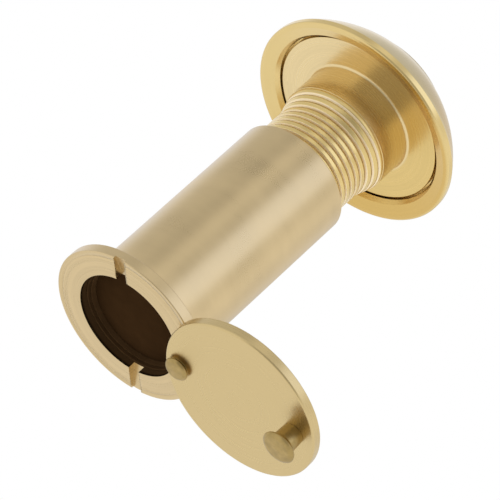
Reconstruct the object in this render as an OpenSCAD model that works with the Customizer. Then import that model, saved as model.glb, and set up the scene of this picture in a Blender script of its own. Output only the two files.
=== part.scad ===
// Door viewer with a swing cover, for a 16 mm hole.
// The optical axis is Y: the room side is at -Y and the street side at +Y.
// The origin is the centre of the flange's seating face, and +Z points to the cover's pivot.

/* [Sleeve] */
// Outside diameter of the sleeve
sleeve_d = 16; // [15.9:0.05:16.1]
// Length of the sleeve behind the flange
sleeve_len = 30.6; // [29:0.1:31]
// Diameter of the flange
flange_d = 22.1; // [21.8:0.1:23]
// Thickness of the flange
flange_t = 1.5; // [1.3:0.05:1.6]
// Diameter of the bore at the flange's face
mouth_d = 14.92; // [14.8:0.02:14.96]
// Width of the coin slot across the flange
slot_w = 1.55; // [1.2:0.05:1.8]
// Depth of the coin slot at the bore
slot_deep = 1.1; // [0.8:0.05:1.2]
// Depth of the coin slot at the flange's rim
slot_shallow = 0.35; // [0.2:0.05:0.6]
// Angle between the coin slot and the X axis
slot_turn = 4; // [0:1:8]

/* [Cover] */
// Diameter of the swing cover
cover_d = 22.4; // [22:0.1:23]
// Thickness of the swing cover
cover_t = 1.35; // [1.1:0.05:1.5]
// Distance from the axis to the pivot
pivot_from_axis = 9.1; // [9.05:0.05:9.4]
// Diameter of the pivot's shank
pivot_d = 2; // [1.8:0.05:2.1]
// Diameter of the pivot's head
pivot_head_d = 3.3; // [3:0.1:3.8]
// Distance from the cover's centre to the knob
knob_from_centre = 8.2; // [7.5:0.1:8.4]
// Diameter of the knob's head
knob_head_d = 4.6; // [4:0.1:5]
// Height of the knob above the cover
knob_h = 3.3; // [2.7:0.1:3.6]

/* [Thread] */
// Pitch of the screw thread
thread_pitch = 1; // [1:0.25:1]
// Crest diameter of the barrel's thread
thread_d = 14; // [13.9:0.02:14.04]
// Radial gap between the two threads
thread_gap = 0.1; // [0.08:0.01:0.12]
// Length of the thread inside the sleeve's end
nut_len = 7.8; // [6:0.1:8]

/* [Head] */
// Door thickness between the flange's seat and the head's rim
door_t = 43.2; // [43:0.1:44.5]
// Diameter of the head's rim
rim_d = 30.2; // [29.5:0.1:31]
// Diameter of the recess in the rim
recess_d = 25.9; // [25.6:0.1:26.4]
// Diameter of the back disc
disc_d = 24.54; // [24.2:0.02:24.6]
// Gap around the back disc
disc_gap = 0.23; // [0.15:0.01:0.3]
// Depth of the back disc's face below the rim
recess_deep = 1.16; // [1:0.02:1.3]
// Depth to which the rim's rear face is dished
dish_deep = 0.5; // [0.3:0.05:0.7]
// Height of the rim's straight edge
edge_h = 0.95; // [0.6:0.05:1.2]
// Height of the full dome above the straight edge
dome_h = 8.7; // [8.3:0.1:9]
// Diameter of the plain shoulder behind the back disc
shoulder_d = 15.7; // [15.5:0.05:15.8]

/* [Glass] */
// Diameter of the front lens
front_lens_d = 15.2; // [15:0.1:15.2]
// Diameter of the two lenses inside the barrel
inner_lens_d = 11.6; // [11.4:0.1:11.6]
// Diameter of the eyepiece lens
eye_lens_d = 14.4; // [14.2:0.1:14.5]

/* [Hidden] */
$fn = 96;
slip = 0.02;            // gap between parts that rest on each other
turn_gap = 0.05;        // radial gap of the turning fits
over = 1;               // how far a cutter runs past a face

sleeve_r = sleeve_d / 2;
flange_r = flange_d / 2;
mouth_r = mouth_d / 2;
mouth_floor = 1.6;      // end of the eyepiece's bore, from the seat
land_r = 6.3;           // the ring that the eyepiece rests on
land_t = 0.9;
edge = 0.15;            // small broken edge on turned parts

thread_r = thread_d / 2;
thread_deep = 0.45 * thread_pitch;
root_r = thread_r - thread_deep;
nut_root_r = thread_r + thread_gap;
nut_crest_r = root_r + thread_gap;
relief_r = nut_root_r + 0.08;
barrel_root_flat = 0.14;    // shares of one pitch
barrel_crest_flat = 0.44;
nut_root_flat = 0.58;
nut_crest_flat = 0.06;
thread_sides = 32;
lead_in = 0.9;          // length over which a thread rises at each end
barrel_tip = 11.9;
cone_start = 36.4;      // where the thread starts to climb to the shoulder
cone_end = 39.2;
thread_end = 40;
nut_start = barrel_tip + thread_pitch * (10.5 - (nut_root_flat - barrel_root_flat) / 2);
nut_end = nut_start + nut_len;

cover_back = -flange_t - slip;
cover_front = cover_back - cover_t;
cover_z = 2 * pivot_from_axis;
knob_z = cover_z + knob_from_centre;
washer_t = 0.15;
head_back = cover_front - washer_t - 2 * slip;
pivot_head_t = 0.75;
tenon_r = 0.75;         // riveted end of the pivot and of the knob
upset_r = 1.05;
upset_t = 0.35;

rim_r = rim_d / 2;
seat_r = 14.35;         // inner edge of the flat land that meets the door
disc_r = disc_d / 2;
pocket_r = disc_r + disc_gap;
disc_back = door_t + recess_deep;
disc_t = 1.24;
pocket_floor = disc_back + disc_t + 0.1;
lip_t = 1.2;
lip_top = pocket_floor + lip_t;
hub_r = 8.1;
opening_r = 8.95;
shoulder_r = shoulder_d / 2;
shoulder_start = 39.4;
cone_root_r = shoulder_r - 0.15;
cone_crest_r = shoulder_r - 0.03;
fillet_r = 0.4;
bore_r = inner_lens_d / 2 + turn_gap;
barrel_front = lip_top + 2.1;
dome_base = door_t + edge_h;
dome_r = (rim_r * rim_r + dome_h * dome_h) / (2 * dome_h);
dome_centre = dome_base + dome_h - dome_r;

front_lens_r = front_lens_d / 2;
front_lens_seat = barrel_front - 1.3;
front_lens_apex = barrel_front + 3;
front_lens_curve = 9.5;
stop_t = 1;
stop_top = front_lens_seat - 0.1;
stop_r = 5.2;
bezel_r = opening_r - turn_gap;
bezel_top = barrel_front + 1.9;
bezel_lip = barrel_front + 0.2;
window_r = 7;
inner_lens_r = inner_lens_d / 2;
inner_lens_t = 1.7;
spacer_r = inner_lens_r;
spacer_hole_r = 5;
second_top = stop_top - stop_t - slip;
front_spacer_top = second_top - inner_lens_t - slip;
front_spacer_t = 2;
third_top = front_spacer_top - front_spacer_t - slip;
rear_spacer_top = third_top - inner_lens_t - slip;
rear_spacer_t = 1.6;
aperture_top = rear_spacer_top - rear_spacer_t - slip;
aperture_t = 0.4;
ring_top = aperture_top - aperture_t - slip;
ring_t = 1.3;
eye_lens_r = eye_lens_d / 2;
eye_curve = 26;
eye_apex = mouth_floor - 1.8;

brass = [0.82, 0.72, 0.50];
head_brass = [0.84, 0.70, 0.42];
bronze = [0.66, 0.57, 0.36];
dark_plastic = [0.16, 0.11, 0.07];
glass = [0.75, 0.85, 0.88, 0.5];

// Turns a shape drawn along Z so that it lies along the optical axis.
module along_y() {
    rotate([-90, 0, 0]) children();
}

// A turned part: outline points are [radius, place along Y].
module turned(outline) {
    along_y() rotate_extrude() polygon(outline);
}

// A plain ring along the axis.
module ring(outer_r, inner_r, start, end) {
    turned([[inner_r, start], [outer_r, start], [outer_r, end], [inner_r, end]]);
}

// A round rod along Y, off the axis by z.
module rod(r, start, end, z = 0) {
    translate([0, start, z]) along_y() cylinder(r = r, h = end - start);
}

// Share of the way along the climb from the thread to the shoulder
function climb(at) = min(1, max(0, (at - cone_start) / (cone_end - cone_start)));

// A tube whose base_r surface carries a right-hand thread up to peak_r. The other surface is
// far_r. Four helical lines run along it: two at the foot of the thread and two on its crest.
// Past each end they run flat on the end face, a little closer to far_r at each step.
// The base and the peak climb by base_climb and peak_climb towards the shoulder.
module threaded_tube(base_r, peak_r, far_r, start, end, root_flat, crest_flat,
                     base_climb = 0, peak_climb = 0) {
    flank = (1 - root_flat - crest_flat) / 2;
    shares = [0, root_flat, root_flat + flank, root_flat + flank + crest_flat];
    n = thread_sides;
    turns = ceil((end - start) / thread_pitch + 2 - shares[3]);
    last = n * turns;
    inward = far_r < base_r;
    run_off = inward ? -0.12 : 0.12;
    function line_point(j, m) =
        let (z = start + thread_pitch * (m / n + shares[j] - 1),
             past = max(0, start - z, z - end),
             at = min(end, max(start, z)),
             rise = min(1, (at - start) / lead_in, (end - at) / lead_in),
             base = base_r + base_climb * climb(at),
             peak = peak_r + peak_climb * climb(at),
             lift = j > 1 ? (peak - base) * rise : 0,
             r = base + run_off * past + lift,
             turn = 360 * m / n)
        [r * cos(turn), r * sin(turn), at];
    function far_point(i, at) = [far_r * cos(360 * i / n), far_r * sin(360 * i / n), at];
    function p(j, m) = j * (last + 1) + m;
    function low(i) = 4 * (last + 1) + i % n;
    function high(i) = 4 * (last + 1) + n + i % n;
    function quad(a, b, c, d) = [[a, b, c], [a, c, d]];
    points = concat(
        [for (j = [0:3], m = [0:last]) line_point(j, m)],
        [for (i = [0:n - 1]) far_point(i, start)],
        [for (i = [0:n - 1]) far_point(i, end)]);
    top = last - n;
    faces = concat(
        [for (j = [0:2], m = [0:last - 1])
            each quad(p(j, m), p(j + 1, m), p(j + 1, m + 1), p(j, m + 1))],
        [for (m = [0:top - 1])
            each quad(p(3, m), p(0, m + n), p(0, m + n + 1), p(3, m + 1))],
        [for (i = [0:n - 2]) each quad(low(i), p(0, i), p(0, i + 1), low(i + 1))],
        [[low(n - 1), p(0, n - 1), low(0)],
         [low(0), p(0, n - 1), p(0, 0)],
         [p(0, 0), p(0, n - 1), p(1, 0)],
         [p(1, 0), p(0, n - 1), p(2, 0)],
         [p(2, 0), p(0, n - 1), p(3, 0)],
         [p(3, 0), p(0, n - 1), p(0, n)]],
        [for (i = [1:n - 1])
            each quad(p(3, top + i), high(i), high(i + 1), p(3, top + i + 1))],
        [[p(3, top), p(0, last), p(3, top + 1)],
         [p(0, last), p(1, last), p(3, top + 1)],
         [p(1, last), p(2, last), p(3, top + 1)],
         [p(2, last), p(3, last), p(3, top + 1)],
         [p(3, last), high(0), p(3, top + 1)],
         [high(0), high(1), p(3, top + 1)]],
        [for (i = [0:n - 1]) each quad(low(i), low(i + 1), high(i + 1), high(i))]);
    along_y() polyhedron(points, inward ? faces : [for (f = faces) [f[0], f[2], f[1]]]);
}

// Cutter for one end of the coin slot; its floor slopes up from the bore to the rim.
module coin_slot() {
    slope = (slot_deep - slot_shallow) / (flange_r - mouth_r);
    floor_in = slot_deep + slope * over - flange_t;
    floor_out = slot_shallow - slope * over - flange_t;
    linear_extrude(slot_w, center = true) polygon([
        [mouth_r - over, -flange_t - over], [mouth_r - over, floor_in],
        [flange_r + over, floor_out], [flange_r + over, -flange_t - over]]);
}

module inner_sleeve() {
    outline = [
        [mouth_r + edge, -flange_t], [flange_r - edge, -flange_t],
        [flange_r, -flange_t + edge], [flange_r, -edge], [flange_r - edge, 0],
        [sleeve_r, 0], [sleeve_r, sleeve_len - edge], [sleeve_r - edge, sleeve_len],
        [relief_r, sleeve_len], [relief_r, mouth_floor + land_t],
        [land_r, mouth_floor + land_t], [land_r, mouth_floor],
        [mouth_r, mouth_floor], [mouth_r, -flange_t + edge]];
    color(brass) {
        difference() {
            turned(outline);
            for (half_turn = [0, 180]) rotate([0, half_turn - slot_turn, 0]) coin_slot();
            rod(tenon_r, -flange_t - over, over, pivot_from_axis);
            rod(upset_r, -upset_t, over, pivot_from_axis);
        }
        threaded_tube(nut_root_r, nut_crest_r, (relief_r + sleeve_r) / 2, nut_start, nut_end,
                      nut_root_flat, nut_crest_flat);
    }
}

module bore_liner() {
    color(dark_plastic)
        ring(mouth_r - slip, eye_lens_r + slip, -flange_t + slot_deep, mouth_floor - slip);
}

// Height of the eyepiece's domed front surface at radius r
function eye_y(r) = eye_apex + eye_curve - sqrt(eye_curve * eye_curve - r * r);

module eyepiece_lens() {
    color(glass) intersection() {
        rod(eye_lens_r, eye_apex - over, mouth_floor - slip);
        translate([0, eye_apex + eye_curve, 0]) sphere(r = eye_curve, $fn = 300);
    }
}

module eyepiece_ring() {
    ring_w = 0.35;
    end = eye_y(eye_lens_r - ring_w) - slip;
    start = end - 0.6;
    color(dark_plastic) turned([
        [eye_lens_r - ring_w, end], [eye_lens_r, end],
        [eye_lens_r, start], [eye_lens_r - 0.5 * ring_w, start]]);
}

module pivot_rivet() {
    head_r = pivot_head_d / 2;
    crown = 0.2;
    head_front = head_back - pivot_head_t;
    color(bronze) translate([0, 0, pivot_from_axis]) {
        turned([
            [0, head_front], [head_r - 0.45, head_front], [head_r - 0.1, head_front + crown],
            [head_r, head_front + crown + 0.15], [head_r, head_back - 0.1],
            [head_r - 0.1, head_back], [pivot_d / 2, head_back],
            [pivot_d / 2, -flange_t], [tenon_r, -flange_t], [tenon_r, -upset_t],
            [upset_r, -upset_t], [upset_r, -slip], [0, -slip]]);
    }
}

module pivot_washer() {
    color(brass) translate([0, 0, pivot_from_axis])
        ring(pivot_head_d / 2 - 0.2, pivot_d / 2 + turn_gap,
             head_back + slip, head_back + slip + washer_t);
}

module cover_disc() {
    r = cover_d / 2;
    color(brass) difference() {
        translate([0, 0, cover_z]) turned([
            [0, cover_front], [r - 2 * edge, cover_front],
            [r - 0.6 * edge, cover_front + 0.6 * edge], [r, cover_front + 2 * edge],
            [r, cover_back - edge], [r - edge, cover_back], [0, cover_back]]);
        rod(pivot_d / 2 + turn_gap, cover_front - over, cover_back + over, pivot_from_axis);
        rod(tenon_r, cover_front - over, cover_back + over, knob_z);
        rod(upset_r, cover_back - upset_t, cover_back + over, knob_z);
    }
}

module pull_knob() {
    head_r = knob_head_d / 2;
    stem_r = 1.45;
    top = cover_front - knob_h;
    color(bronze) translate([0, 0, knob_z]) turned([
        [0, top], [head_r - 0.4, top + 0.05], [head_r - 0.1, top + 0.2], [head_r, top + 0.4],
        [head_r - 0.1, top + 0.65], [stem_r + 0.3, top + 0.95], [stem_r, top + 1.3],
        [stem_r, cover_front - 0.25], [stem_r + 0.12, cover_front - slip],
        [tenon_r, cover_front - slip], [tenon_r, cover_back - upset_t],
        [upset_r, cover_back - upset_t], [upset_r, cover_back - slip], [0, cover_back - slip]]);
}

module outer_rose() {
    rear_edge = 0.35;
    color(head_brass) difference() {
        intersection() {
            turned([
                [0, door_t], [rim_r - rear_edge, door_t], [rim_r, door_t + rear_edge],
                [rim_r, dome_base + dome_h], [0, dome_base + dome_h]]);
            translate([0, dome_centre, 0]) sphere(r = dome_r, $fn = 160);
        }
        turned([
            [0, door_t - over], [seat_r, door_t - over], [seat_r, door_t],
            [recess_d / 2, door_t + dish_deep], [pocket_r, disc_back],
            [pocket_r, pocket_floor], [hub_r + 2 * turn_gap, pocket_floor],
            [hub_r + 2 * turn_gap, lip_top], [opening_r, lip_top],
            [opening_r, dome_base + dome_h + over], [0, dome_base + dome_h + over]]);
    }
}

module threaded_barrel() {
    core_r = root_r - 0.24;
    outline = [
        [bore_r, barrel_tip], [core_r, barrel_tip], [core_r, cone_start],
        [cone_root_r - 0.24, cone_end], [cone_root_r - 0.24, shoulder_start],
        [cone_root_r + 0.04, shoulder_start], [shoulder_r, shoulder_start + 0.08],
        [shoulder_r, disc_back - fillet_r],
        [shoulder_r + 0.1 * fillet_r, disc_back - 0.5 * fillet_r],
        [shoulder_r + 0.5 * fillet_r, disc_back - 0.1 * fillet_r],
        [shoulder_r + fillet_r, disc_back], [disc_r - edge, disc_back],
        [disc_r, disc_back + edge], [disc_r, disc_back + disc_t], [hub_r, disc_back + disc_t],
        [hub_r, barrel_front], [front_lens_r + turn_gap, barrel_front],
        [front_lens_r + turn_gap, front_lens_seat - slip], [stop_r, front_lens_seat - slip],
        [stop_r, stop_top - stop_t], [bore_r, stop_top - stop_t]];
    color(head_brass) {
        turned(outline);
        threaded_tube(root_r, thread_r, (core_r + bore_r) / 2, barrel_tip, thread_end,
                      barrel_root_flat, barrel_crest_flat,
                      cone_root_r - root_r, cone_crest_r - thread_r);
    }
}

module front_bezel() {
    color(brass) turned([
        [hub_r + turn_gap, lip_top + turn_gap], [bezel_r, lip_top + turn_gap],
        [bezel_r, bezel_top - 0.3], [bezel_r - 0.3, bezel_top],
        [window_r + 0.5, bezel_top], [window_r, bezel_top - 0.9],
        [window_r, bezel_lip], [hub_r + turn_gap, bezel_lip]]);
}

// Height of the front lens's outer surface at radius r
function front_lens_y(r) =
    front_lens_apex - front_lens_curve + sqrt(front_lens_curve * front_lens_curve - r * r);

module objective_seal() {
    inner = window_r + 0.05;
    color("dimgray") ring(front_lens_r, inner, front_lens_y(inner) + slip, bezel_lip - slip);
}

module objective_lens() {
    hollow_curve = 5.6;
    hollow_mouth = 5;
    hollow_centre = front_lens_seat - sqrt(hollow_curve * hollow_curve - hollow_mouth * hollow_mouth);
    color(glass) difference() {
        intersection() {
            rod(front_lens_r, front_lens_seat, front_lens_apex + over);
            translate([0, front_lens_apex - front_lens_curve, 0]) sphere(r = front_lens_curve);
        }
        translate([0, hollow_centre, 0]) sphere(r = hollow_curve);
    }
}

// A lens that is flat in front and hollow behind
module hollow_lens(top, hollow_curve, hollow_r) {
    back = top - inner_lens_t;
    centre = back - sqrt(hollow_curve * hollow_curve - hollow_r * hollow_r);
    color(glass) difference() {
        rod(inner_lens_r, back, top);
        translate([0, centre, 0]) sphere(r = hollow_curve);
    }
}

module second_lens() {
    hollow_lens(second_top, 14, 4.7);
}

module third_lens() {
    hollow_lens(third_top, 18, 4.6);
}

module front_spacer() {
    color(dark_plastic)
        ring(spacer_r, spacer_hole_r, front_spacer_top - front_spacer_t, front_spacer_top);
}

module rear_spacer() {
    color(dark_plastic)
        ring(spacer_r, spacer_hole_r, rear_spacer_top - rear_spacer_t, rear_spacer_top);
}

module aperture_stop() {
    color(dark_plastic) ring(spacer_r, 3.2, aperture_top - aperture_t, aperture_top);
}

module barrel_ring() {
    key_w = 0.9;
    color(dark_plastic) difference() {
        ring(spacer_r, spacer_hole_r - 0.2, ring_top - ring_t, ring_top);
        translate([0, ring_top - ring_t, 0]) cube([4 * spacer_r, 1, key_w], center = true);
    }
}

// Blackened tube that keeps light off the barrel's bore
module baffle_tube() {
    wall = 0.35;
    color(dark_plastic)
        ring(spacer_r, spacer_r - wall, barrel_tip + 0.4, ring_top - ring_t - slip);
}

inner_sleeve();
bore_liner();
eyepiece_lens();
eyepiece_ring();
pivot_rivet();
pivot_washer();
cover_disc();
pull_knob();
outer_rose();
threaded_barrel();
front_bezel();
objective_seal();
objective_lens();
second_lens();
front_spacer();
third_lens();
rear_spacer();
aperture_stop();
barrel_ring();
baffle_tube();
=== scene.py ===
"""Looks of the door viewer: satin brass, turned threads, glass lenses and a white studio."""
import math
import bmesh
import bpy
from mathutils import Matrix, Vector


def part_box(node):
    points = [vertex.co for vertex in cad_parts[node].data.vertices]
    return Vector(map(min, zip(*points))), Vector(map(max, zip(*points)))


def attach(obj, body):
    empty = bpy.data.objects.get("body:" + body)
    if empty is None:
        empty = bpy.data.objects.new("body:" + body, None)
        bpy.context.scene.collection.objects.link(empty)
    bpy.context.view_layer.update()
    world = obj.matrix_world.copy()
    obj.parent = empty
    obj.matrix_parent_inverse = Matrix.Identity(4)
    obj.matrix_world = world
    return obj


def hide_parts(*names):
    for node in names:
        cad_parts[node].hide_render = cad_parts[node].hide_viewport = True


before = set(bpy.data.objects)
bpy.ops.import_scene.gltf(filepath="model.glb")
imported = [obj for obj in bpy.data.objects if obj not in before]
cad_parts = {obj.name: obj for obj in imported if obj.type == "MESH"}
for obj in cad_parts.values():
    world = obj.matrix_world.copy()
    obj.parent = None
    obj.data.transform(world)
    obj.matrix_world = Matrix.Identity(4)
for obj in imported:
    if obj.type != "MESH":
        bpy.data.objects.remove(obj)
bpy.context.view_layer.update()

MM = 0.001
STEPS = 192                      # sides of a turned part
SMALL_STEPS = 96                 # sides of the rivet, its washer and the knob
SCREW_STEPS = 128                # sides of a thread


# ---------------------------------------------------------------- sizes, in mm
def reach(node):
    """Lowest and highest corner of a CAD node in mm."""
    low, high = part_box(node)
    return low / MM, high / MM


sleeve_low, sleeve_high = reach("inner_sleeve")
cover_low, cover_high = reach("cover_disc")
rivet_low, rivet_high = reach("pivot_rivet")
washer_low, washer_high = reach("pivot_washer")
knob_low, knob_high = reach("pull_knob")
rose_low, rose_high = reach("outer_rose")
barrel_low, barrel_high = reach("threaded_barrel")
bezel_low, bezel_high = reach("front_bezel")
liner_low, liner_high = reach("bore_liner")
GAP = 0.02                       # left between pieces that rest on each other

# Sleeve. Y runs from the room side to the street side, with 0 at the flange's seat.
FLANGE_R = sleeve_high.x
FLANGE_Y = sleeve_low.y
SLEEVE_R = 8.0
SLEEVE_END = sleeve_high.y
MOUTH_R = liner_high.x + GAP
MOUTH_FLOOR = liner_high.y + GAP
LAND_R = 6.3                     # hole in the land that the eyepiece rests on
LAND_T = 0.9
FACE_GROOVES = ((9.95, 0.04), (10.35, 0.08))     # radius and depth
SLOT_W = 1.55
SLOT_DEEP = liner_low.y - FLANGE_Y               # the slot's depth at the mouth
SLOT_SHALLOW = 0.35              # and at the flange's rim
SLOT_TURN = -4.0                 # degrees from the X axis

# Cover, pivot and knob
COVER_Z = (cover_low.z + cover_high.z) / 2
PIVOT_Z = (rivet_low.z + rivet_high.z) / 2
KNOB_Z = (knob_low.z + knob_high.z) / 2
PIVOT_R = 1.0
STEM_R = 1.45
TENON_R = 0.75                   # the riveted tenons of the pivot and the knob
UPSET_R, UPSET_T = 1.05, 0.35    # and their spread ends
WASHER_HOLE_R = 1.05

# Threads
PITCH = 1.0
CREST_R = 7.0
ROOT_R = 6.55
BARREL_FLATS = (0.05, 0.75)      # root and crest, as shares of a pitch
THREAD_BEVEL = 0.11              # share of a pitch
THREAD_START = barrel_low.y + 0.045
THREAD_END = 40.0
CONE_START, CONE_END = 36.4, 39.2                # where the thread runs out on a cone
CONE_ROOT_R = 7.70
CONE_CREST_R = 7.82
NUT_ROOT_R = 7.1
NUT_CREST_R = 6.65
RELIEF_R = 7.18                  # the sleeve's bore behind its thread
NUT_FLATS = (0.70, 0.04)
NUT_SHIFT = (1 + BARREL_FLATS[0] - NUT_FLATS[0]) / 2      # puts crests in the middle of grooves
NUT_START = THREAD_START + 10 * PITCH + NUT_SHIFT
NUT_END = NUT_START + 7.8

# Barrel and head
BORE_R = 5.85
CORE_R = 6.31
CONE_CORE_R = CONE_ROOT_R - 0.24                 # under the run-out of the thread
SHOULDER_Y = 39.4
SHOULDER_R = 7.85
RIM_Y = rose_low.y
RIM_R = rose_high.x
DISC_R = barrel_high.x
DISC_EDGE_R = DISC_R - 0.04      # keeps the gap round the disc open to the eye
DISC_Y = RIM_Y + 1.16
DISC_T = 1.24
HUB_R = 8.1
FRONT_Y = barrel_high.y
SEAL_SEAT_R, SEAL_SEAT_DEEP = 7.65, 1.32
STOP_R, STOP_DEEP = 5.2, 2.4
WINDOW_R = 7.0
SEAT_R = 14.35                   # inner radius of the land that meets the door
DISH_R, DISH_DEEP = 12.95, 0.5
POCKET_R = DISC_R + 0.27
POCKET_Y = DISC_Y + DISC_T + 0.1
LIP_Y = POCKET_Y + 1.2
LIP_R = 8.2
OPENING_R = bezel_high.x + 0.05
DOME_H = 8.7
EDGE_H = 0.95                    # height of the head's straight edge


# ---------------------------------------------------------------- turned shapes
def round_corners(points, steps=5):
    """Points are (r, y) or (r, y, corner radius). Returns (r, y) points with the corners as arcs."""
    out = []
    count = len(points)
    for i, point in enumerate(points):
        here = Vector(point[:2])
        size = point[2] if len(point) > 2 else 0.0
        if size <= 0:
            out.append(tuple(here))
            continue
        back = (Vector(points[i - 1][:2]) - here).normalized()
        ahead = (Vector(points[(i + 1) % count][:2]) - here).normalized()
        half = back.angle(ahead) / 2
        middle = here + (back + ahead).normalized() * (size / math.sin(half))
        start = here + back * (size / math.tan(half)) - middle
        end = here + ahead * (size / math.tan(half)) - middle
        turn = start.angle_signed(end)
        for k in range(steps + 1):
            spin = Matrix.Rotation(-turn * k / steps, 2)
            out.append(tuple(middle + spin @ start))
    return out


def arc(centre, radius, start, end, steps):
    """Points of an arc; the angles are in degrees, 0 along r and 90 along y."""
    turns = [math.radians(start + (end - start) * k / steps) for k in range(steps + 1)]
    return [(centre[0] + radius * math.cos(t), centre[1] + radius * math.sin(t)) for t in turns]


def closed_outline(points):
    """The points without repeats, in the order that puts the solid on the left."""
    pts = [(max(r, 0.0), y) for r, y in points]
    keep = [p for i, p in enumerate(pts) if math.dist(p, pts[i - 1]) > 1e-6]
    area = sum(a[0] * b[1] - b[0] * a[1] for a, b in zip(keep, keep[1:] + keep[:1]))
    return keep[::-1] if area < 0 else keep


def outline_normals(outline, sharp):
    """Normals at the start and the end of each edge, shared at corners flatter than sharp degrees."""
    count = len(outline)
    edges = [Vector(outline[(i + 1) % count]) - Vector(outline[i]) for i in range(count)]
    outward = [Vector((e.y, -e.x)).normalized() for e in edges]
    at_start, at_end = [None] * count, [None] * count
    for i in range(count):
        before, after = outward[i - 1], outward[i]
        if before.angle(after) < math.radians(sharp):
            shared = before * edges[i - 1].length ** 2 + after * edges[i].length ** 2
            at_end[i - 1] = at_start[i] = shared.normalized()
        else:
            at_end[i - 1], at_start[i] = before, after
    return at_start, at_end


def thread_profile(root, crest, bevel):
    """(place, height) points along one pitch; a height is 0 at the root and 1 at the crest.

    root and crest are the flats' shares of a pitch, and bevel is the share of the crest that
    its edge towards -Y has lost.
    """
    rise = (1 - root - crest) / 2
    flank = 4                    # steps up a flank, whose foot and top are rounded
    rounded = [0.5 - 0.5 * math.cos(math.pi * (0.12 + 0.76 * k / flank)) for k in range(flank + 1)]
    rounded[0], rounded[flank] = 0.0, 1.0
    bevel_foot = 0.55 if bevel else 1.0
    top = root + rise + bevel
    profile = [(0.0, 0.0)]
    profile += [(root + rise * k / flank, bevel_foot * rounded[k]) for k in range(flank + 1)]
    for along in (0.25, 0.75, 1.0) if bevel else ():
        profile.append((root + rise + bevel * along, bevel_foot + (1 - bevel_foot) * along))
    profile += [(top + (crest - bevel) * inside, 1.0) for inside in (0.2, 0.8)]
    profile += [(root + rise + crest + rise * k / flank, rounded[flank - k]) for k in range(flank)]
    return profile


def screw_faces(first, low, high, lines, last):
    """Faces of a screw.

    Its profile has this many lines of last + 1 vertices, the first of which starts at first.
    low and high are the first vertices of the plain side's two rims.
    """
    steps = SCREW_STEPS

    def p(j, m):
        return first + j * (last + 1) + m

    # along the thread, and from the end of each pitch to the start of the next
    faces = [(p(j, m), p(j + 1, m), p(j + 1, m + 1), p(j, m + 1))
             for j in range(lines - 1) for m in range(last)]
    top = last - steps
    end = lines - 1
    for m in range(top):
        faces.append((p(end, m), p(0, m + steps), p(0, m + steps + 1), p(end, m + 1)))
    # the low end, with the step in it where the thread starts
    for k in range(steps - 1):
        faces.append((low + k, p(0, k), p(0, k + 1), low + k + 1))
    seam = [low, *[p(j, 0) for j in range(lines)], p(0, steps)]
    faces += [(a, b, p(0, steps - 1)) for a, b in zip(seam, seam[1:])]
    faces.append((low + steps - 1, low, p(0, steps - 1)))
    # the high end, likewise
    for k in range(1, steps):
        faces.append((p(end, top + k), high + k, high + (k + 1) % steps, p(end, top + k + 1)))
    seam = [p(end, top), *[p(j, last) for j in range(lines)], high]
    faces += [(a, b, p(end, top + 1)) for a, b in zip(seam, seam[1:])]
    faces.append((high, high + 1, p(end, top + 1)))
    # the plain side
    for k in range(steps):
        m = (k + 1) % steps
        faces.append((low + k, low + m, high + m, high + k))
    return faces


def on_helix(r, y, step):
    """The vertex at radius r and place y, this many steps round a right-hand turn."""
    a = 2 * math.pi * step / SCREW_STEPS
    return r * math.cos(a), y, -r * math.sin(a)


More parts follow.
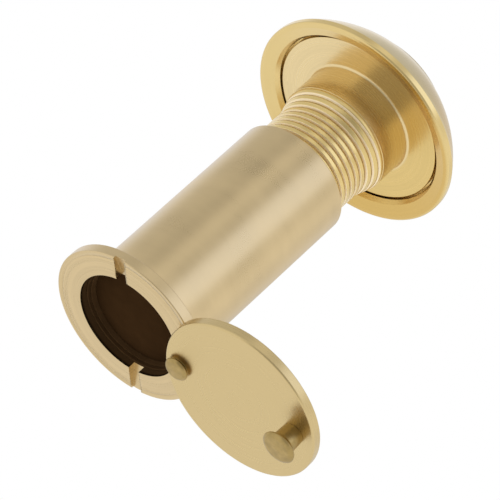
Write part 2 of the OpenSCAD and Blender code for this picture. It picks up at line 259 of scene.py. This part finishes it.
class Shell:
    """Vertices, faces and corner normals of a mesh in the making, in mm."""

    def __init__(self):
        self.verts = []
        self.faces = []
        self.normals = []

    def lathe(self, outline, z=0.0, steps=STEPS, sharp=30):
        """Turns a closed outline of (r, y) points round the line parallel to Y at height z."""
        keep = closed_outline(outline)
        at_start, at_end = outline_normals(keep, sharp)
        angles = [2 * math.pi * k / steps for k in range(steps)]
        rings = [self.ring(r, y, z, angles) for r, y in keep]
        for i, near in enumerate(rings):
            far = rings[(i + 1) % len(rings)]
            if near[0] == near[1] and far[0] == far[1]:
                continue
            for k in range(steps):
                m = (k + 1) % steps
                self.corner_face([(near[k], angles[k], at_start[i]), (near[m], angles[m], at_start[i]),
                                  (far[m], angles[m], at_end[i]), (far[k], angles[k], at_end[i])])
        return self

    def ring(self, r, y, z, angles):
        """Vertex numbers of a ring, which is one vertex on the axis."""
        first = len(self.verts)
        if r < 1e-6:
            self.verts.append((0.0, y, z))
            return [first] * len(angles)
        self.verts += [(r * math.sin(a), y, z + r * math.cos(a)) for a in angles]
        return list(range(first, first + len(angles)))

    def corner_face(self, corners):
        """A face through corners of (vertex, turn, normal in the outline's plane)."""
        face = []
        for vert, turn, normal in corners:
            if vert in face:
                continue
            face.append(vert)
            self.normals.append((normal.x * math.sin(turn), normal.y, normal.x * math.cos(turn)))
        self.faces.append(face)

    def screw(self, base_r, peak_r, far_r, start, end, flats, climbs=(0.0, 0.0), bevel=0.0):
        """A tube with a right-hand thread on its base_r side and a plain side at far_r.

        flats and bevel are thread_profile's; climbs are what base_r and peak_r gain on the way
        from CONE_START to CONE_END.
        """
        profile = thread_profile(*flats, bevel)
        last = SCREW_STEPS * math.ceil((end - start) / PITCH + 2 - profile[-1][0])
        outside = far_r < base_r
        run_off = -0.12 if outside else 0.12     # change of radius per mm past the tube's ends
        lead_in = 0.9            # the thread reaches its full height this far from the ends
        first = len(self.verts)
        for share, lift in profile:
            for m in range(last + 1):
                y = start + PITCH * (m / SCREW_STEPS + share - 1)
                past = max(0.0, start - y, y - end)
                at = min(end, max(start, y))
                height = lift * min(1.0, (at - start) / lead_in, (end - at) / lead_in)
                climb = min(1.0, max(0.0, (at - CONE_START) / (CONE_END - CONE_START)))
                foot_r = base_r + climbs[0] * climb
                top_r = peak_r + climbs[1] * climb
                self.verts.append(on_helix(foot_r + run_off * past + (top_r - foot_r) * height, at, m))
        low = len(self.verts)
        for at in (start, end):
            self.verts += [on_helix(far_r, at, k) for k in range(SCREW_STEPS)]
        for face in screw_faces(first, low, low + SCREW_STEPS, len(profile), last):
            self.faces.append(face[::-1] if outside else face)
            self.normals += [(0.0, 0.0, 0.0)] * len(face)
        return self

    def build(self, name, material):
        """Makes the Blender object, in metres."""
        mesh = bpy.data.meshes.new(name)
        mesh.from_pydata([(x * MM, y * MM, z * MM) for x, y, z in self.verts], [], self.faces)
        mesh.polygons.foreach_set("use_smooth", [True] * len(mesh.polygons))
        mesh.update()
        mesh.normals_split_custom_set(self.normals)
        mesh.materials.append(material)
        piece = bpy.data.objects.new(name, mesh)
        bpy.context.scene.collection.objects.link(piece)
        return piece


def place(piece, body, node):
    """Rides on a CAD body and stands for a CAD node, which it hides."""
    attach(piece, body)
    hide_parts(node)


# ---------------------------------------------------------------- materials
class Nodes:
    """A node tree, emptied, and short calls that add nodes to it."""

    def __init__(self, tree):
        self.tree = tree
        tree.nodes.clear()

    def add(self, kind):
        return self.tree.nodes.new("ShaderNode" + kind)

    def link(self, a, b):
        self.tree.links.new(a, b)

    def put(self, socket, value):
        if isinstance(value, bpy.types.NodeSocket):
            self.link(value, socket)
        else:
            socket.default_value = value

    def math(self, kind, a, b=0.0, c=0.0):
        node = self.add("Math")
        node.operation = kind
        for socket, value in zip(node.inputs, (a, b, c)):
            self.put(socket, value)
        return node.outputs[0]

    def range(self, value, low, high, to_low, to_high, smooth=False):
        node = self.add("MapRange")
        node.interpolation_type = "SMOOTHSTEP" if smooth else "LINEAR"
        for socket, v in zip(node.inputs, (value, low, high, to_low, to_high)):
            self.put(socket, v)
        return node.outputs[0]

    def vector(self, x, y, z):
        node = self.add("CombineXYZ")
        for socket, value in zip(node.inputs, (x, y, z)):
            self.put(socket, value)
        return node.outputs[0]

    def split(self, vector):
        node = self.add("SeparateXYZ")
        self.link(vector, node.inputs[0])
        return node.outputs

    def noise(self, where, scale, detail, roughness):
        node = self.add("TexNoise")
        self.link(where, node.inputs["Vector"])
        node.inputs["Scale"].default_value = scale
        node.inputs["Detail"].default_value = detail
        node.inputs["Roughness"].default_value = roughness
        return node.outputs[0]

    def mix(self, share, a, b, blend="MIX"):
        node = self.add("Mix")
        node.data_type = "RGBA"
        node.blend_type = blend
        self.put(node.inputs[0], share)
        self.put(node.inputs[6], a)
        self.put(node.inputs[7], b)
        return node.outputs[2]


def node_material(name):
    material = bpy.data.materials.new(name)
    material.use_nodes = True
    return material


class Surface(Nodes):
    """A new material with one Principled shader."""

    def __init__(self, name):
        self.material = node_material(name)
        super().__init__(self.material.node_tree)
        self.shader = self.add("BsdfPrincipled")
        self.link(self.shader.outputs[0], self.add("OutputMaterial").inputs["Surface"])

    def set(self, **values):
        """Sets or links the shader's inputs; a space in an input's name is written as _."""
        for key, value in values.items():
            self.put(self.shader.inputs[key.replace("_", " ")], value)

    def bump(self, height, strength, distance, normal=None):
        node = self.add("Bump")
        node.inputs["Strength"].default_value = strength
        node.inputs["Distance"].default_value = distance
        self.link(height, node.inputs["Height"])
        if normal is not None:
            self.link(normal, node.inputs["Normal"])
        return node.outputs[0]

    def rounded_edges(self, radius):
        node = self.add("Bevel")
        node.samples = 4
        node.inputs["Radius"].default_value = radius
        return node.outputs[0]

    def place(self, z=0.0):
        """Sockets in mm: radius from the line at height z, place along Y, angle, and position."""
        x, y, height = self.split(self.add("TexCoord").outputs["Object"])
        px = self.math("MULTIPLY", x, 1 / MM)
        py = self.math("MULTIPLY", y, 1 / MM)
        pz = self.math("SUBTRACT", self.math("MULTIPLY", height, 1 / MM), z)
        flat = self.math("ADD", self.math("MULTIPLY", px, px), self.math("MULTIPLY", pz, pz))
        radius = self.math("SQRT", flat)
        angle = self.math("ARCTAN2", px, pz)
        return radius, py, angle, self.vector(px, py, pz)


# Painted reflection: the side, in degrees from +Z towards +X, where discs get a darker, deeper colour
REFLECTION_SIDE = 50.0              # degrees from +Z towards +X
# Painted shade on the wall of the sleeve's mouth: darkest next to the face, less dark deeper in
BORE_SHADE_AT_FACE = (0.012, 0.007, 0.003, 1.0)
BORE_SHADE = (0.072, 0.039, 0.016, 1.0)


def shade_of(colour, factor):
    """The colour made lighter or darker, with an alpha of 1."""
    return tuple(min(1.0, factor * c) for c in colour) + (1.0,)


def painted_reflection(n, shade, ratio, band, tone, radius, angle):
    """A painted reflection: the shade times ratio on one side of the part, between the two radii of band.
    """
    inner, outer = band
    fade = 0.3
    side = n.math("COSINE", n.math("SUBTRACT", angle, math.radians(REFLECTION_SIDE)))
    share = n.range(n.math("ADD", side, tone), -0.5, 0.5, 0.0, 1.0, True)
    share = n.math("MULTIPLY", share, n.range(radius, inner, inner + fade, 0.0, 1.0))
    share = n.math("MULTIPLY", share, n.range(radius, outer - fade, outer, 1.0, 0.0))
    return n.mix(share, shade, n.mix(1.0, shade, ratio + (1.0,), "MULTIPLY"))


def facing_room(n):
    """1 where the surface faces -Y, as one flank of a thread does, and 0 elsewhere: where the painted
    highlight goes.
    """
    normal_y = n.split(n.add("NewGeometry").outputs["Normal"])[1]
    return n.range(normal_y, -0.45, -0.70, 0.0, 1.0)


def unshaded_share(n, radius, along, end):
    """0 on the wall of the sleeve's mouth, which gets painted shade, up to the place end along Y, and 1
    elsewhere.
    """
    inside = n.math("LESS_THAN", radius, MOUTH_R + 0.04)
    shallow = n.math("LESS_THAN", along, end)
    return n.math("SUBTRACT", 1.0, n.math("MULTIPLY", inside, shallow))


def turned_metal(name, colour, rough, marks, grain, z=0.0, blotch=0.06, lines=5.0, patches=0.35,
                 relief=None, dark_reflection=None, dark_reflection_r=(0.0, 0.0), painted_shade_end=None, flank_highlight=None):
    """Brass off a lathe: rings of tool marks, fine grain, and slight changes of tone.

    rough is the mean roughness; marks and grain are the strengths of both; z is the height of
    the lathe's axis; blotch is the strength of the changes of tone, and patches is how many a
    millimetre has; lines is how fine the marks are along the axis; relief is how far the marks
    also stand as bumps, as much as marks unless given; the next two arguments are the deeper
    colour of a painted reflection on one side and the radii it lies between; the one after is
    the place along Y up to which the wall of the sleeve's mouth gets painted shade; the last is
    the colour of a painted highlight on the flanks that face -Y.
    """
    n = Surface(name)
    radius, along, angle, spot = n.place(z)
    rings = n.noise(n.vector(n.math("MULTIPLY", radius, 3.17), n.math("MULTIPLY", along, lines),
                             n.math("MULTIPLY", angle, 0.5)), 1.0, 3.0, 0.62)
    fine = n.noise(spot, 9.0, 3.0, 0.6)
    broad = n.noise(spot, patches, 3.0, 0.55)
    tone = n.math("ADD", n.math("MULTIPLY", n.math("SUBTRACT", broad, 0.5), 2 * blotch),
                  n.math("MULTIPLY", n.math("SUBTRACT", rings, 0.5), 2 * marks))
    shade = n.mix(n.math("ADD", 0.5, tone), shade_of(colour, 0.87), shade_of(colour, 1.13))
    texture = n.math("ADD", n.math("MULTIPLY", rings, 0.7), n.math("MULTIPLY", fine, 0.3))
    dullness = n.range(texture, 0.3, 0.7, rough * 0.8, rough * 1.25)
    unshaded = 1.0
    # painted reflection: a darker, deeper colour on one side of the part
    if dark_reflection:
        ratio = tuple(a / b for a, b in zip(dark_reflection, colour))
        shade = painted_reflection(n, shade, ratio, dark_reflection_r, tone, radius, angle)
    # painted highlight: near-white colour, and more roughness, on the flanks that face -Y
    if flank_highlight:
        flank = facing_room(n)
        shade = n.mix(flank, shade, flank_highlight + (1.0,))
        dullness = n.math("ADD", n.math("MULTIPLY", flank, 0.35), dullness)
    # painted shade: the wall of the sleeve's mouth turns dark and loses its metal, darkest at the face
    if painted_shade_end:
        deeper = n.range(along, FLANGE_Y + 0.1, FLANGE_Y + 0.55, 0.0, 1.0, True)
        unshaded = unshaded_share(n, radius, along, painted_shade_end)
        shade = n.mix(unshaded, n.mix(deeper, BORE_SHADE_AT_FACE, BORE_SHADE), shade)
    normal = n.rounded_edges(0.05 * MM)
    normal = n.bump(rings, marks if relief is None else relief, 0.02 * MM, normal)
    n.set(Base_Color=shade, Metallic=unshaded, Specular_IOR_Level=0.0, Roughness=dullness,
          Normal=n.bump(fine, grain, 0.01 * MM, normal))
    return n.material


def dull(name, colour, rough, speckle=0.3, specular=0.5):
    """Moulded or black surface with a faint grain; also the eyepiece lens's painted shade."""
    n = Surface(name)
    spot = n.place()[3]
    grain = n.noise(spot, 6.0, 4.0, 0.6)
    broad = n.noise(spot, 0.6, 2.0, 0.5)
    n.set(Base_Color=n.mix(broad, shade_of(colour, 1 - speckle), shade_of(colour, 1 + speckle)),
          Metallic=0.0, Specular_IOR_Level=specular,
          Roughness=n.range(grain, 0.3, 0.7, rough * 0.85, min(1.0, rough * 1.15)),
          Normal=n.bump(grain, 0.25, 0.02 * MM))
    return n.material


def glass(name, tint):
    """Coated optical glass with a faint film and dust-fine roughness changes."""
    n = Surface(name)
    film = n.noise(n.place()[3], 0.4, 2.0, 0.5)
    n.set(Base_Color=n.mix(film, shade_of(tint, 1.0), shade_of(tint, 0.94)),
          Transmission_Weight=1.0, IOR=1.52, Roughness=n.range(film, 0.3, 0.7, 0.0, 0.015),
          Coat_Weight=0.3, Coat_Roughness=0.02, Coat_Tint=(0.75, 0.70, 1.0, 1.0))
    return n.material


SATIN = (0.640, 0.495, 0.275)
COVER = (0.635, 0.489, 0.240)
RAW = (0.77, 0.61, 0.33)
# deeper colour of a painted reflection on the barrel's disc
RAW_DARK_REFLECTION = (0.715, 0.525, 0.205)
ROSE = (0.745, 0.570, 0.255)
# deeper colour of a painted reflection in the head's dish
ROSE_DARK_REFLECTION = (0.660, 0.450, 0.150)
THREAD = (0.765, 0.58, 0.242)
# near-white of the painted highlight on the thread's flanks
FLANK_HIGHLIGHT = (1.0, 0.86, 0.62)
WORN = (0.405, 0.290, 0.112)
# the sleeve's mouth gets painted shade from the face to half a millimetre past its floor
sleeve_metal = turned_metal("sleeve_satin", SATIN, rough=0.30, marks=0.80, grain=0.02, lines=0.15,
                            relief=0.12, painted_shade_end=MOUTH_FLOOR + 0.5)
cover_metal = turned_metal("cover_satin", COVER, rough=0.30, marks=0.10, grain=0.06, z=COVER_Z)
# the head and the barrel carry a painted reflection, darker and deeper, on one side
rose_metal = turned_metal("head_brass", ROSE, rough=0.21, marks=0.15, grain=0.10,
                          dark_reflection=ROSE_DARK_REFLECTION, dark_reflection_r=(DISC_R, RIM_R - 0.1))
barrel_metal = turned_metal("barrel_brass", RAW, rough=0.24, marks=0.42, grain=0.08, lines=9.0,
                            dark_reflection=RAW_DARK_REFLECTION, dark_reflection_r=(SHOULDER_R + 0.2, 2 * DISC_R))
# the thread's flanks that face -Y get a painted highlight
thread_metal = turned_metal("thread_brass", THREAD, rough=0.24, marks=0.30, grain=0.06,
                            flank_highlight=FLANK_HIGHLIGHT)
bezel_metal = turned_metal("bezel_brass", RAW, rough=0.14, marks=0.12, grain=0.08)
rivet_metal = turned_metal("rivet_bronze", WORN, rough=0.34, marks=0.2, grain=0.4, z=PIVOT_Z,
                           blotch=1.3, patches=1.1)
knob_metal = turned_metal("knob_bronze", WORN, rough=0.34, marks=0.2, grain=0.4, z=KNOB_Z,
                          blotch=1.3, patches=1.1)
liner_black = dull("liner_brown", (0.070, 0.037, 0.015), rough=0.55, specular=0.0)
spacer_black = dull("spacer_black", (0.012, 0.011, 0.010), rough=0.6)
rubber = dull("seal_rubber", (0.016, 0.016, 0.017), rough=0.75)
front_glass = glass("front_glass", (0.97, 0.985, 0.98))
inner_glass = glass("inner_glass", (0.96, 0.98, 0.97))
# painted shade: the eyepiece lens is opaque dark brown without reflection, for the dark interior seen
# through it
eyepiece_shade = dull("eyepiece_shade", (0.043, 0.021, 0.0079), rough=0.12, speckle=0.2, specular=0.0)


# ---------------------------------------------------------------- sleeve
def sleeve():
    """Tube and flange with a stepped bore, two rings in the face and the coin slot."""
    groove_steps = ((-0.10, 0), (-0.03, 1), (0.03, 1), (0.10, 0))
    grooves = [(r + across, FLANGE_Y + deep * down)
               for r, deep in FACE_GROOVES for across, down in groove_steps]
    outline = round_corners([
        (MOUTH_R, FLANGE_Y, 0.10), *grooves, (FLANGE_R, FLANGE_Y, 0.16), (FLANGE_R, 0.0, 0.12),
        (SLEEVE_R, 0.0), (SLEEVE_R, SLEEVE_END, 0.14), (RELIEF_R, SLEEVE_END, 0.05),
        (RELIEF_R, MOUTH_FLOOR + LAND_T), (LAND_R, MOUTH_FLOOR + LAND_T),
        (LAND_R, MOUTH_FLOOR), (MOUTH_R, MOUTH_FLOOR)])
    body = Shell().lathe(outline).build("sleeve_body", sleeve_metal)
    tool = slot_cutter()
    cut = body.modifiers.new("slots", "BOOLEAN")
    cut.object = tool
    cut.solver = "EXACT"
    apply_modifiers(body)
    bpy.data.objects.remove(tool)
    body.data.set_sharp_from_angle(angle=math.radians(32))
    body.modifiers.new("shade", "WEIGHTED_NORMAL").keep_sharp = True
    apply_modifiers(body)
    place(body, "sleeve", "inner_sleeve")


def slot_cutter():
    """Two wedges, one for each end of the coin slot, whose floor slopes up from bore to rim."""
    past = 1.0
    slope = (SLOT_DEEP - SLOT_SHALLOW) / (FLANGE_R - MOUTH_R)
    inner, outer = MOUTH_R - past, FLANGE_R + past
    side = [(inner, FLANGE_Y - past), (inner, FLANGE_Y + SLOT_DEEP + slope * past),
            (outer, FLANGE_Y + SLOT_SHALLOW - slope * past), (outer, FLANGE_Y - past)]
    cutter = bmesh.new()
    for turn in (SLOT_TURN, SLOT_TURN + 180):
        spin = Matrix.Rotation(math.radians(turn), 3, "Y")
        walls = [[cutter.verts.new(spin @ Vector((x, y, z)) * MM) for x, y in side]
                 for z in (-SLOT_W / 2, SLOT_W / 2)]
        cutter.faces.new(walls[0])
        cutter.faces.new(reversed(walls[1]))
        for i in range(4):
            k = (i + 1) % 4
            cutter.faces.new((walls[0][k], walls[0][i], walls[1][i], walls[1][k]))
    bmesh.ops.recalc_face_normals(cutter, faces=cutter.faces)
    mesh = bpy.data.meshes.new("slot_cutter")
    cutter.to_mesh(mesh)
    cutter.free()
    tool = bpy.data.objects.new("slot_cutter", mesh)
    bpy.context.scene.collection.objects.link(tool)
    return tool


def apply_modifiers(piece):
    """Bakes a piece's modifiers into its mesh."""
    shown = bpy.context.evaluated_depsgraph_get()
    shown.update()
    baked = bpy.data.meshes.new_from_object(piece.evaluated_get(shown))
    piece.modifiers.clear()
    piece.data = baked


def sleeve_thread():
    """The female thread at the sleeve's street end."""
    middle_r = (RELIEF_R + SLEEVE_R) / 2
    nut = Shell().screw(NUT_ROOT_R, NUT_CREST_R, middle_r, NUT_START, NUT_END, NUT_FLATS)
    place(nut.build("sleeve_nut_thread", sleeve_metal), "sleeve", "inner_sleeve")


# ---------------------------------------------------------------- eyepiece
def eyepiece():
    """The liner of the mouth, the domed lens, and the ring that holds it on its land."""
    ring_low, ring_high = reach("eyepiece_ring")
    eye_low, eye_high = reach("eyepiece_lens")
    liner_r, hole_r = MOUTH_R - GAP, eye_high.x + GAP
    liner = Shell().lathe(round_corners([
        (liner_r, liner_low.y, 0.08), (liner_r, liner_high.y),
        (hole_r, liner_high.y), (hole_r, liner_low.y, 0.12)]))
    place(liner.build("bore_liner_tube", liner_black), "sleeve", "bore_liner")
    ring = Shell().lathe(round_corners([
        (eye_high.x, ring_low.y, 0.05), (eye_high.x, ring_high.y),
        (eye_high.x - 0.35, ring_high.y), (eye_high.x - 0.17, ring_low.y, 0.05)]))
    place(ring.build("eyepiece_retainer", liner_black), "sleeve", "eyepiece_ring")
    curve = 26.0
    half = math.degrees(math.asin(eye_high.x / curve))
    front = arc((0, eye_low.y + curve), curve, -90, -90 + half, 12)
    eye = Shell().lathe(front + [(eye_high.x, eye_high.y), (0, eye_high.y)])
    # the lens is opaque, in painted shade
    place(eye.build("eyepiece_glass", eyepiece_shade), "sleeve", "eyepiece_lens")


# ---------------------------------------------------------------- cover, pivot and knob
def cover():
    """The swing cover, a disc with eased edges."""
    outline = round_corners([
        (0, cover_low.y), (cover_high.x, cover_low.y, 0.28), (cover_high.x, cover_high.y, 0.16),
        (0, cover_high.y)])
    disc = Shell().lathe(outline, COVER_Z)
    place(disc.build("swing_cover", cover_metal), "cover", "cover_disc")


def pivot():
    """The rivet, with an undercut head and an end spread behind the flange, and its washer."""
    top, head_r = rivet_low.y, rivet_high.x
    head_back = washer_low.y - GAP
    rivet = Shell().lathe(round_corners([
        (0, top), (head_r * 0.84, top + 0.10, 0.5), (head_r, top + 0.40, 0.12),
        (head_r, top + 0.52, 0.05), (head_r - 0.35, head_back), (PIVOT_R, head_back),
        (PIVOT_R, FLANGE_Y), (TENON_R, FLANGE_Y), (TENON_R, -UPSET_T), (UPSET_R, -UPSET_T),
        (UPSET_R, rivet_high.y), (0, rivet_high.y)]), PIVOT_Z, SMALL_STEPS)
    place(rivet.build("pivot_rivet_turned", rivet_metal), "sleeve", "pivot_rivet")
    washer = Shell().lathe(round_corners([
        (WASHER_HOLE_R, washer_low.y), (washer_high.x, washer_low.y, 0.05),
        (washer_high.x, washer_high.y, 0.05), (WASHER_HOLE_R, washer_high.y)]), PIVOT_Z, SMALL_STEPS)
    place(washer.build("pivot_washer_thin", rivet_metal), "sleeve", "pivot_washer")


def knob():
    """A mushroom knob whose tenon goes through the cover and is spread behind it."""
    top, knob_r = knob_low.y, knob_high.x
    foot, upset = cover_low.y - GAP, cover_high.y - UPSET_T
    turned = Shell().lathe(round_corners([
        (0, top), (knob_r * 0.82, top + 0.10, 0.9), (knob_r, top + 0.45, 0.16),
        (knob_r - 0.10, top + 0.66, 0.10), (STEM_R + 0.10, top + 1.02, 0.5), (STEM_R, foot),
        (TENON_R, foot), (TENON_R, upset), (UPSET_R, upset), (UPSET_R, knob_high.y),
        (0, knob_high.y)]), KNOB_Z, SMALL_STEPS)
    place(turned.build("pull_knob_turned", knob_metal), "cover", "pull_knob")


# ---------------------------------------------------------------- head and barrel
def rose():
    """The head: a dished rear rim, a pocket for the barrel's disc, and a dome."""
    dome_base = RIM_Y + EDGE_H
    dome_r = (RIM_R ** 2 + DOME_H ** 2) / (2 * DOME_H)
    centre = (0, dome_base + DOME_H - dome_r)
    start = math.degrees(math.acos(RIM_R / dome_r))
    end = math.degrees(math.acos(OPENING_R / dome_r))
    towards_dome = arc(centre, dome_r, start, end, 2)[1]
    outline = round_corners([
        (OPENING_R, LIP_Y), (LIP_R, LIP_Y), (LIP_R, POCKET_Y), (POCKET_R, POCKET_Y),
        (POCKET_R, DISC_Y, 0.10), (DISH_R, RIM_Y + DISH_DEEP, 0.10), (SEAT_R, RIM_Y, 0.40),
        (RIM_R, RIM_Y, 0.34), (RIM_R, dome_base, 0.12), towards_dome])
    outline = outline[:-1] + arc(centre, dome_r, start + 1, end, 24)
    head = Shell().lathe(outline, sharp=24)
    place(head.build("outer_rose_dome", rose_metal), "head", "outer_rose")


def barrel():
    """Core, shoulder, back disc and hub, and the thread with its tapering run-out."""
    disc_back = DISC_Y + DISC_T
    seal_seat, stop = FRONT_Y - SEAL_SEAT_DEEP, FRONT_Y - STOP_DEEP
    core = Shell().lathe(round_corners([
        (BORE_R, barrel_low.y), (CORE_R, barrel_low.y), (CORE_R, CONE_START),
        (CONE_CORE_R, CONE_END), (CONE_CORE_R, SHOULDER_Y), (SHOULDER_R, SHOULDER_Y, 0.07),
        (SHOULDER_R, DISC_Y, 0.40), (DISC_EDGE_R, DISC_Y, 0.12), (DISC_EDGE_R, disc_back),
        (HUB_R, disc_back), (HUB_R, FRONT_Y), (SEAL_SEAT_R, FRONT_Y), (SEAL_SEAT_R, seal_seat),
        (STOP_R, seal_seat), (STOP_R, stop), (BORE_R, stop)]))
    place(core.build("barrel_turned", barrel_metal), "barrel", "threaded_barrel")
    climbs = (CONE_ROOT_R - ROOT_R, CONE_CREST_R - CREST_R)
    thread = Shell().screw(ROOT_R, CREST_R, (CORE_R + BORE_R) / 2, THREAD_START, THREAD_END,
                           BARREL_FLATS, climbs, THREAD_BEVEL)
    place(thread.build("barrel_thread", thread_metal), "barrel", "threaded_barrel")


def bezel():
    """The ring round the front glass, with a lip that slopes in to the window."""
    inner_r, lip_y = HUB_R + 0.05, FRONT_Y + 0.2
    ring = Shell().lathe(round_corners([
        (inner_r, bezel_low.y), (bezel_high.x, bezel_low.y), (bezel_high.x, bezel_high.y, 0.45),
        (WINDOW_R + 0.45, bezel_high.y, 0.2), (WINDOW_R, bezel_high.y - 0.9, 0.2),
        (WINDOW_R, lip_y), (inner_r, lip_y)]))
    place(ring.build("front_bezel_ring", bezel_metal), "barrel", "front_bezel")


# ---------------------------------------------------------------- lenses and what holds them
def hollow(low_y, curve, mouth, steps):
    """The arc of a hollow in a lens's rear face, from the axis out to its mouth."""
    turn = math.degrees(math.asin(mouth / curve))
    middle = low_y - curve * math.cos(math.radians(turn))
    return arc((0, middle), curve, 90, 90 - turn, steps)


def objective(curve, hollow_curve, mouth):
    """The meniscus front lens, and the rubber ring between it and the bezel."""
    low, high = reach("objective_lens")
    edge_turn = math.degrees(math.asin(high.x / curve))
    dome = arc((0, high.y - curve), curve, 90 - edge_turn, 90, 24)
    lens = Shell().lathe(hollow(low.y, hollow_curve, mouth, 16) + [(high.x, low.y)] + dome)
    place(lens.build("objective_glass", front_glass), "barrel", "objective_lens")
    low, high = reach("objective_seal")
    hole_r = WINDOW_R + 0.05
    seal = Shell().lathe([(hole_r, low.y), (high.x, low.y), (high.x, high.y), (hole_r, high.y)])
    place(seal.build("objective_gasket", rubber), "barrel", "objective_seal")


def hollow_lens(node, curve, mouth):
    """A lens with a flat front and a hollow in its rear face."""
    low, high = reach(node)
    outline = hollow(low.y, curve, mouth, 12) + [(high.x, low.y), (high.x, high.y), (0, high.y)]
    place(Shell().lathe(outline).build(node + "_glass", inner_glass), "barrel", node)


def spacer(node, hole):
    """A ring or tube with eased edges round its hole."""
    low, high = reach(node)
    outline = round_corners([(hole, low.y, 0.06), (high.x, low.y), (high.x, high.y), (hole, high.y, 0.06)])
    place(Shell().lathe(outline).build(node + "_tube", spacer_black), "barrel", node)


# ---------------------------------------------------------------- studio
def direction(turn, along):
    """A unit vector: degrees about Y from +Z towards +X, and the share along Y."""
    across = math.sqrt(1 - along ** 2)
    return Vector((across * math.sin(math.radians(turn)), along, across * math.cos(math.radians(turn))))


def studio():
    """White to the camera; to the metal, a soft room with a few large soft boxes."""
    world = bpy.data.worlds.new("studio")
    bpy.context.scene.world = world
    world.use_nodes = True
    n = Nodes(world.node_tree)
    side = 0.54                  # the share along Y of what a tube's side mirrors to the camera
    white_lobes = (
        # turn about Y, share along Y, half width and softness in degrees, strength
        (0, -1.0, 84, 14, 0.20),
        (-58, -side, 37, 9, -0.50),
        (35, side, 30, 24, 0.17),
        (-130, side, 22, 18, -0.07),
        (-90, side, 3, 11, 0.17),
        (-112, side, 3, 13, -0.10),
        (-62, side, 3, 12, -0.09),
        (2, side, 3, 14, -0.07),
        (30, side, 3, 14, 0.07),
        (62, side, 4, 16, -0.07),
        (0, 1.0, 15, 25, -0.40),
    )
    blue_lobes = (
        (148, side, 10, 24, 0.38),
        (-32, side, 11, 14, 0.74),
        (0, 1.0, 15, 25, 0.45),
    )
    seen = n.add("TexCoord").outputs["Generated"]
    white = light(n, seen, 0.80, white_lobes)
    blue = light(n, seen, 0.0, blue_lobes)
    room = n.vector(*[n.math("MULTIPLY_ADD", blue, share, white) for share in (0.55, 0.66, 1.0)])
    ray = n.add("LightPath")
    back = n.add("Background")
    n.put(back.inputs["Color"], n.mix(ray.outputs["Is Camera Ray"], room, (1, 1, 1, 1)))
    n.link(back.outputs[0], n.add("OutputWorld").inputs["Surface"])


def light(n, seen, level, lobes):
    """The level with soft round patches of light or dark added to it."""
    for turn, along, wide, soft, strength in lobes:
        dot = n.add("VectorMath")
        dot.operation = "DOT_PRODUCT"
        n.link(seen, dot.inputs[0])
        dot.inputs[1].default_value = direction(turn, along)
        edge_out = math.cos(math.radians(wide + soft))
        edge_in = math.cos(math.radians(wide))
        lobe = n.range(dot.outputs["Value"], edge_out, edge_in, 0.0, strength, True)
        level = n.math("ADD", level, lobe)
    return level


def floor():
    """A wide pale table far below the part: it glows to the camera and is clear to other rays."""
    material = node_material("table_white")
    n = Nodes(material.node_tree)
    ray = n.add("LightPath")
    mix = n.add("MixShader")
    n.link(ray.outputs["Is Camera Ray"], mix.inputs[0])
    n.link(n.add("BsdfTransparent").outputs[0], mix.inputs[1])
    n.link(n.add("Emission").outputs[0], mix.inputs[2])
    n.link(mix.outputs[0], n.add("OutputMaterial").inputs["Surface"])
    half, height = 6.0, -0.30
    corners = [(-half, -half, height), (half, -half, height), (half, half, height), (-half, half, height)]
    mesh = bpy.data.meshes.new("table")
    mesh.from_pydata(corners, [], [(0, 1, 2, 3)])
    mesh.materials.append(material)
    table = bpy.data.objects.new("table", mesh)
    bpy.context.scene.collection.objects.link(table)


def camera():
    """The photograph's angle: from the room side, left and above, with the camera rolled."""
    azimuth, elevation, roll = math.radians(-52.86), math.radians(26.48), math.radians(118.93)
    distance = 0.43524
    middle, shift = Vector((0, 0.0231, 0.007125)), Vector((-0.006105, -0.001662, 0))
    data = bpy.data.cameras.new("camera")
    data.sensor_width = 36.0
    data.lens = 253.8
    data.clip_start = 0.01
    data.clip_end = 20.0
    cam = bpy.data.objects.new("camera", data)
    bpy.context.scene.collection.objects.link(cam)
    back = Vector((math.sin(azimuth) * math.cos(elevation), -math.cos(azimuth) * math.cos(elevation),
                   math.sin(elevation)))
    turn = (-back).to_track_quat("-Z", "Y") @ Matrix.Rotation(roll, 3, "Z").to_quaternion()
    cam.rotation_mode = "QUATERNION"
    cam.rotation_quaternion = turn
    cam.location = middle + turn @ shift + back * distance
    bpy.context.scene.camera = cam


sleeve()
sleeve_thread()
eyepiece()
cover()
pivot()
knob()
rose()
barrel()
bezel()
objective(curve=9.5, hollow_curve=5.6, mouth=5.0)
hollow_lens("second_lens", curve=14.0, mouth=4.7)
hollow_lens("third_lens", curve=18.0, mouth=4.6)
spacer("front_spacer", hole=5.0)
spacer("rear_spacer", hole=5.0)
spacer("aperture_stop", hole=3.2)
spacer("barrel_ring", hole=4.8)
spacer("baffle_tube", hole=5.45)
studio()
floor()
camera()
bpy.context.scene.view_settings.view_transform = "Standard"
